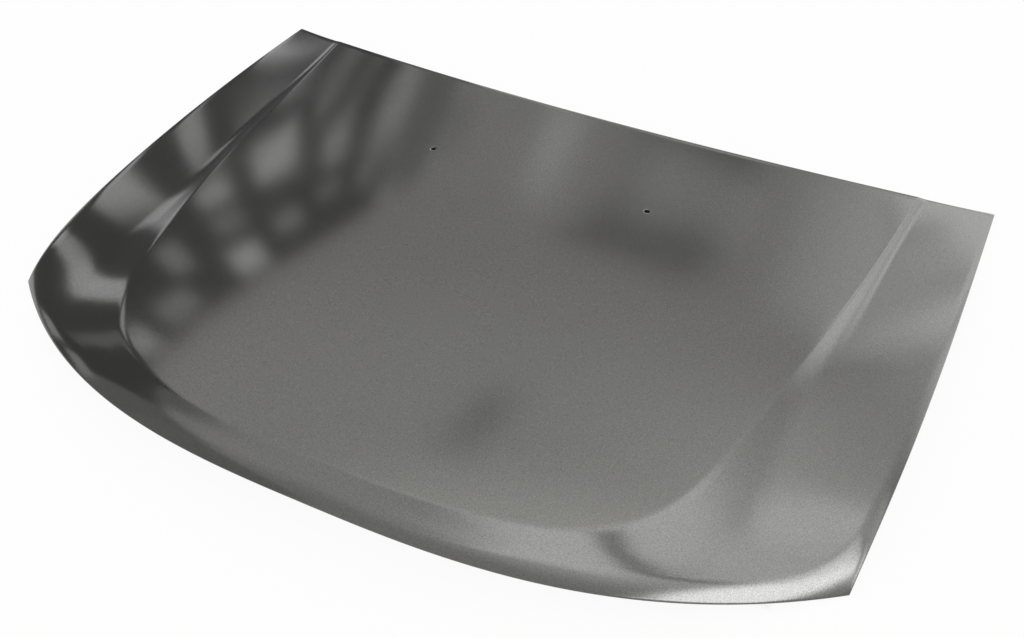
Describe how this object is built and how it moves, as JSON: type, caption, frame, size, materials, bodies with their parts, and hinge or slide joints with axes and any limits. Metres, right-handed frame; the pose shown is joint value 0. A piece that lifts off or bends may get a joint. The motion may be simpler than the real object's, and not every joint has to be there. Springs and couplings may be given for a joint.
{
  "type": "car bonnet",
  "caption": "Pressed steel car bonnet with a raised, creased centre, hemmed skin, ribbed inner panel, hinge and latch reinforcements and a striker.",
  "frame": {"origin": "middle of the bounding box's base, on the plane that the four corners rest on", "axes": "+X across the car to the right seen from the front, +Y from the nose to the windscreen edge, +Z out of the skin"},
  "size_m": [1.4494, 1.0831, 0.1116],
  "materials": {
    "skin_primer": "satin black-grey primer",
    "inner_primer": "matt black-grey primer",
    "zinc_plate": "zinc plated",
    "mastic": "matt"
  },
  "bodies": {
    "root": {"hinge_nut_left_front": "inner_primer", "hinge_nut_left_rear": "inner_primer", "hinge_nut_right_front": "inner_primer", "hinge_nut_right_rear": "inner_primer", "hinge_reinforcement_left": "inner_primer", "hinge_reinforcement_right": "inner_primer", "inner_panel": "inner_primer", "latch_reinforcement": "inner_primer", "mastic_01": "mastic", "mastic_02": "mastic", "mastic_03": "mastic", "mastic_04": "mastic", "mastic_05": "mastic", "mastic_06": "mastic", "mastic_07": "mastic", "mastic_08": "mastic", "mastic_09": "mastic", "mastic_10": "mastic", "mastic_11": "mastic", "mastic_12": "mastic", "mastic_13": "mastic", "mastic_14": "mastic", "mastic_15": "mastic", "mastic_16": "mastic", "mastic_17": "mastic", "mastic_18": "mastic", "mastic_19": "mastic", "mastic_20": "mastic", "mastic_21": "mastic", "mastic_22": "mastic", "mastic_23": "mastic", "mastic_24": "mastic", "outer_skin": "skin_primer", "striker_bolt_left": "zinc_plate", "striker_bolt_right": "zinc_plate", "striker_loop": "zinc_plate", "striker_nut_left": "inner_primer", "striker_nut_right": "inner_primer", "striker_plate": "zinc_plate"}
  },
  "joints": []
}
